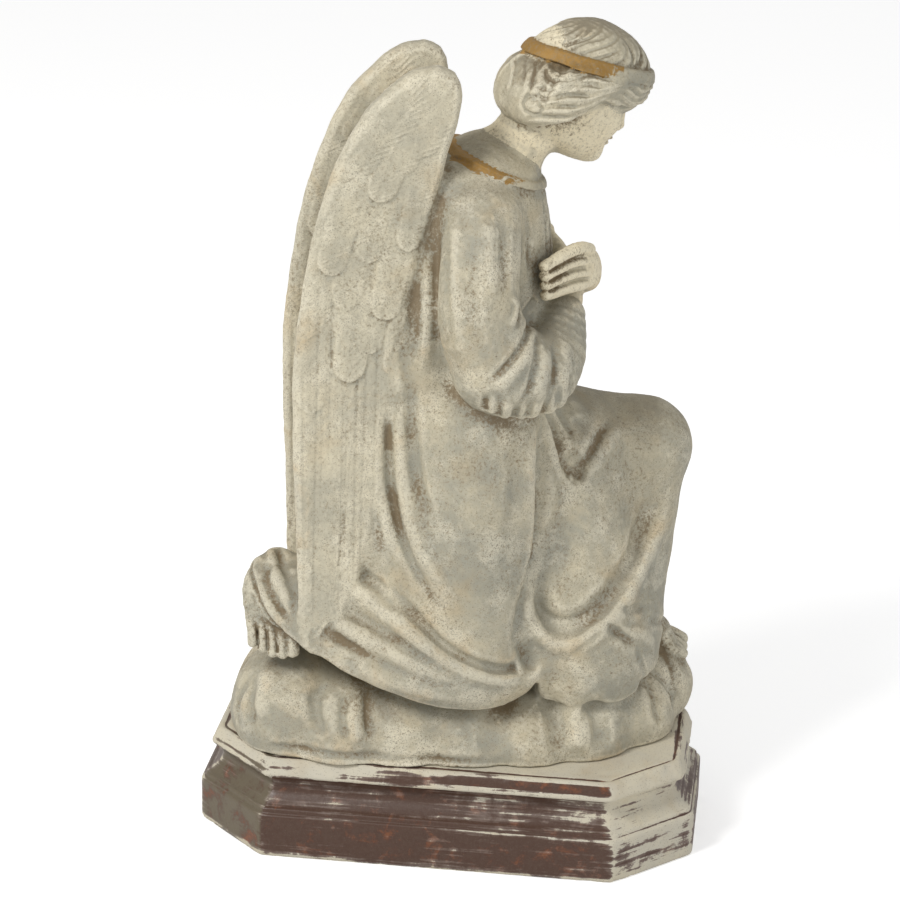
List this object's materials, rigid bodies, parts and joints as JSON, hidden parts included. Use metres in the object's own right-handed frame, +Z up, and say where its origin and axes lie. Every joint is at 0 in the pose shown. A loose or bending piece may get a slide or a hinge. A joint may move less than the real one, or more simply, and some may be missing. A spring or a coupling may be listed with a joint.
{
  "type": "angel figurine",
  "caption": "Cast kneeling angel figurine with folded wings and crossed arms, on a cloud bank over a moulded octagonal plinth.",
  "frame": {"origin": "middle of the plinth's underside", "axes": "+Z up, +X along the plinth's length towards the end that the angel faces, +Y to the angel's left; the figure itself is turned 14 degrees about Z on the plinth"},
  "size_m": [0.242, 0.14, 0.3991],
  "materials": {
    "aged_ivory": "aged ivory paint over cast resin, matt to eggshell, with brown dirt in the folds, bluish grey and yellowish mottling and fine pinholes",
    "brown_paint": "dark red-brown satin paint chipped and rubbed through to cream along the mouldings",
    "worn_gilt": "ochre-gold bronze paint, partly flaked to cream",
    "iron": "bare iron bar and wire"
  },
  "bodies": {
    "root": {"plinth": "brown_paint", "cloud_mound": "aged_ivory", "trailing_foot": "aged_ivory", "front_foot": "aged_ivory", "robe_skirt": "aged_ivory", "collar_band": "worn_gilt", "diadem": "worn_gilt", "left_hand": "aged_ivory", "right_hand": "aged_ivory", "head": "aged_ivory", "hair": "aged_ivory", "robe_torso": "aged_ivory", "right_sleeve": "aged_ivory", "left_sleeve": "aged_ivory", "right_wing": "aged_ivory", "left_wing": "aged_ivory", "right_wing_dowel_upper": "iron", "right_wing_dowel_lower": "iron", "left_wing_dowel_upper": "iron", "left_wing_dowel_lower": "iron", "neck_dowel": "iron", "right_wrist_pin": "iron", "left_wrist_pin": "iron", "armature_rod": "iron"}
  },
  "joints": []
}
